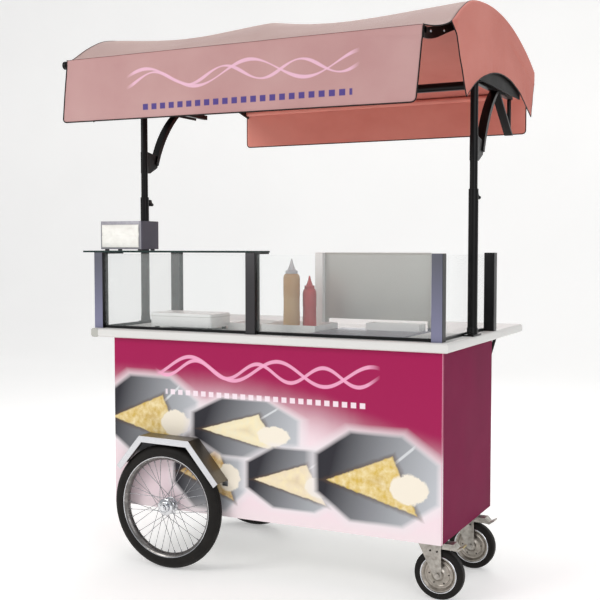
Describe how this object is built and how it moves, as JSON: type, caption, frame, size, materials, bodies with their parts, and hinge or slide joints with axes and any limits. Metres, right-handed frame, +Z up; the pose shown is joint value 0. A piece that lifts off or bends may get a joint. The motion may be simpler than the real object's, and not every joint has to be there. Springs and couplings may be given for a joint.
{
  "type": "push vending cart",
  "caption": "Push vending cart: panelled cabinet on spoked wheels and braked casters, glass-guarded worktop, folding rear leaf, and a hooded cloth canopy on telescopic masts.",
  "frame": {"origin": "on the floor under the middle of the whole outline", "axes": "+X towards the caster end, +Y towards the operator's side, +Z up; customers stand on the -Y side"},
  "size_m": [1.74, 1.521, 2.3402],
  "materials": {
    "printed_panel": "printed film over laminated board, magenta fading to pale pink",
    "end_panel": "plain dark magenta film over laminated board",
    "frame_steel": "dark grey powder coat on welded steel tube",
    "shelf_board": "pale grey laminated board",
    "door_frame": "satin anodised track frame",
    "door_board": "white laminated board",
    "worktop": "white laminate with a rounded gloss edge band",
    "zinc": "zinc plated, satin",
    "chrome": "polished chrome plating",
    "stainless": "brushed stainless sheet",
    "tyre": "black rubber with a fine tread",
    "caster_rubber": "black solid rubber",
    "brake_steel": "zinc plated pressing with a yellow passivated toe",
    "black_steel": "satin black powder coat",
    "black_plastic": "moulded black plastic",
    "guard_post": "dark blue-grey anodised square section",
    "guard_channel": "black anodised glazing channel",
    "guard_glass": "clear toughened glass, polished edges",
    "white_plastic": "white gloss casing",
    "tray_white": "white moulded tray",
    "bottle_plastic": "translucent squeeze bottle",
    "dispenser_case": "silver-grey casing",
    "canopy_cloth": "dusty pink coated awning cloth, salmon inside, black piping"
  },
  "bodies": {
    "cart": {"base_frame": "frame_steel", "front_panel": "printed_panel", "left_end_panel": "end_panel", "right_end_panel": "end_panel", "cabinet_shelves": "shelf_board", "rear_frame": "door_frame", "worktop": "worktop", "leaf_fittings": "zinc", "wheel_axle": "zinc", "front_fender": "stainless", "rear_fender": "stainless", "fender_brackets": "stainless", "caster_plates": "zinc", "mast_feet": "black_steel", "mast_lower_tubes": "black_steel", "guard_posts": "guard_post", "guard_fittings": "guard_channel", "guard_glass": "guard_glass", "glass_shelf": "guard_glass", "divider_post": "white_plastic", "back_panel": "stainless", "serving_trays": "tray_white", "sauce_bottles": "bottle_plastic", "hot_plate": "white_plastic", "napkin_dispenser": "dispenser_case"},
    "door_left": {"sliding_door_left": "door_board"},
    "door_right": {"sliding_door_right": "door_board"},
    "leaf": {"rear_leaf": "worktop", "leaf_hinge_moving": "zinc"},
    "leaf_prop": {"leaf_support": "black_steel"},
    "front_wheel": {"front_wheel_tyre": "tyre", "front_wheel_rim": "chrome", "front_wheel_spokes": "chrome", "front_wheel_hub": "chrome"},
    "rear_wheel": {"rear_wheel_tyre": "tyre", "rear_wheel_rim": "chrome", "rear_wheel_spokes": "chrome", "rear_wheel_hub": "chrome"},
    "front_caster": {"front_caster_fork": "zinc"},
    "rear_caster": {"rear_caster_fork": "zinc"},
    "front_roller": {"front_caster_wheel": "zinc", "front_caster_tyre": "caster_rubber"},
    "rear_roller": {"rear_caster_wheel": "zinc", "rear_caster_tyre": "caster_rubber"},
    "front_brake": {"front_brake_pedal": "brake_steel"},
    "rear_brake": {"rear_brake_pedal": "brake_steel"},
    "knob_left": {"clamp_knob_left": "black_plastic"},
    "knob_right": {"clamp_knob_right": "black_plastic"},
    "canopy": {"mast_upper_tubes": "black_steel", "side_rails": "black_steel", "hood_hoops": "black_steel", "eave_tubes": "black_steel", "mast_beam": "black_steel", "canopy_braces": "black_steel", "head_plates": "black_steel", "canopy_roof": "canopy_cloth", "front_valance": "canopy_cloth", "rear_valance": "canopy_cloth", "end_flap_left": "canopy_cloth", "end_flap_right": "canopy_cloth"}
  },
  "joints": [
    {"name": "front_wheel_roll", "type": "hinge", "parent": "cart", "child": "front_wheel", "pos_m": [-0.402, -0.6075, 0.265], "axis": [0, 1, 0], "continuous": true},
    {"name": "rear_wheel_roll", "type": "hinge", "parent": "cart", "child": "rear_wheel", "pos_m": [-0.402, 0.1525, 0.265], "axis": [0, 1, 0], "continuous": true},
    {"name": "front_caster_swivel", "type": "hinge", "parent": "cart", "child": "front_caster", "pos_m": [0.717, -0.4605, 0.22], "axis": [0, 0, 1], "continuous": true},
    {"name": "rear_caster_swivel", "type": "hinge", "parent": "cart", "child": "rear_caster", "pos_m": [0.717, -0.0275, 0.22], "axis": [0, 0, 1], "continuous": true},
    {"name": "front_caster_roll", "type": "hinge", "parent": "front_caster", "child": "front_roller", "pos_m": [0.767, -0.4605, 0.1], "axis": [0, 1, 0], "continuous": true},
    {"name": "rear_caster_roll", "type": "hinge", "parent": "rear_caster", "child": "rear_roller", "pos_m": [0.767, -0.0275, 0.1], "axis": [0, 1, 0], "continuous": true},
    {"name": "front_brake_press", "type": "hinge", "parent": "front_caster", "child": "front_brake", "pos_m": [0.769, -0.4605, 0.213], "axis": [0, 1, 0], "range_deg": [0, 12]},
    {"name": "rear_brake_press", "type": "hinge", "parent": "rear_caster", "child": "rear_brake", "pos_m": [0.769, -0.0275, 0.213], "axis": [0, 1, 0], "range_deg": [0, 12]},
    {"name": "canopy_height", "type": "slide", "parent": "cart", "child": "canopy", "axis": [0, 0, 1], "range_m": [-0.1, 0.2]},
    {"name": "knob_left_turn", "type": "hinge", "parent": "cart", "child": "knob_left", "pos_m": [-0.792, -0.1815, 1.58], "axis": [0, 1, 0], "range_deg": [-180, 180]},
    {"name": "knob_right_turn", "type": "hinge", "parent": "cart", "child": "knob_right", "pos_m": [0.813, -0.1815, 1.58], "axis": [0, 1, 0], "range_deg": [-180, 180]},
    {"name": "door_left_slide", "type": "slide", "parent": "cart", "child": "door_left", "axis": [1, 0, 0], "range_m": [0, 0.66]},
    {"name": "door_right_slide", "type": "slide", "parent": "cart", "child": "door_right", "axis": [1, 0, 0], "range_m": [-0.66, 0]},
    {"name": "leaf_fold", "type": "hinge", "parent": "cart", "child": "leaf", "pos_m": [0.048, 0.1345, 0.971], "axis": [1, 0, 0], "range_deg": [-90, 0]},
    {"name": "leaf_prop_fold", "type": "hinge", "parent": "cart", "child": "leaf_prop", "pos_m": [0.048, 0.1205, 0.815], "axis": [1, 0, 0], "range_deg": [-131.1, 0]}
  ],
  "couplings": [
    {"joint": "leaf_prop_fold", "follows": "leaf_fold", "ratio": 1.4553}
  ]
}
